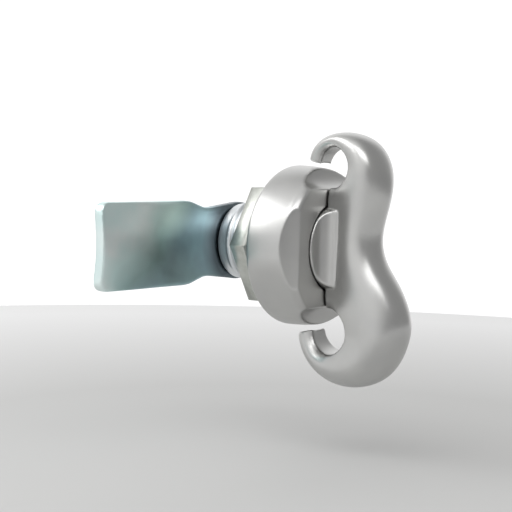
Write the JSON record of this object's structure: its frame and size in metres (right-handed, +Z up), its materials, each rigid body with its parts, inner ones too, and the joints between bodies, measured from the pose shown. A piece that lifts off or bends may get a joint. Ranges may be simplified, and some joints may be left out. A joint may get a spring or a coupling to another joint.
{
  "type": "padlockable enclosure latch",
  "caption": "Quarter-turn enclosure latch with a wing handle whose hooked ends take a padlock, a round cast head, a threaded barrel with nut, and a flat cam.",
  "frame": {"origin": "on the latch axis, in the plane of the head's rear face that lies against the panel", "axes": "+Y rearwards along the latch axis, through the panel; +Z up along the wing handle when latched; the cam points to -X when latched"},
  "size_m": [0.068, 0.0591, 0.0592],
  "materials": {
    "zinc_casting": "satin sprayed zinc casting",
    "bright_zinc": "bright zinc plated steel",
    "cam_zinc": "blue passivated zinc plated steel",
    "turned_steel": "turned and ground steel",
    "spring_steel": "oiled spring steel",
    "bearing_bronze": "sintered bronze",
    "nylon": "natural moulded nylon",
    "seal_rubber": "moulded nitrile rubber"
  },
  "bodies": {
    "housing": {"housing": "zinc_casting", "flange_gasket": "seal_rubber", "toothed_washer": "bright_zinc", "hex_nut": "bright_zinc", "front_bush": "bearing_bronze", "rear_bush": "bearing_bronze", "thrust_washer": "nylon", "disc_spring": "spring_steel", "seat_washer": "turned_steel"},
    "rotor": {"wing_handle": "zinc_casting", "spindle": "turned_steel", "spindle_pin": "turned_steel", "spindle_o_ring": "seal_rubber", "hub_o_ring": "seal_rubber", "retaining_clip": "spring_steel", "stop_disc": "turned_steel", "cam": "cam_zinc", "cam_flat_washer": "bright_zinc", "cam_spring_washer": "bright_zinc", "cam_bolt": "bright_zinc"}
  },
  "joints": [
    {"name": "wing_turn", "type": "hinge", "parent": "housing", "child": "rotor", "pos_m": [0, 0, 0], "axis": [0, -1, 0], "range_deg": [0, 90]}
  ]
}
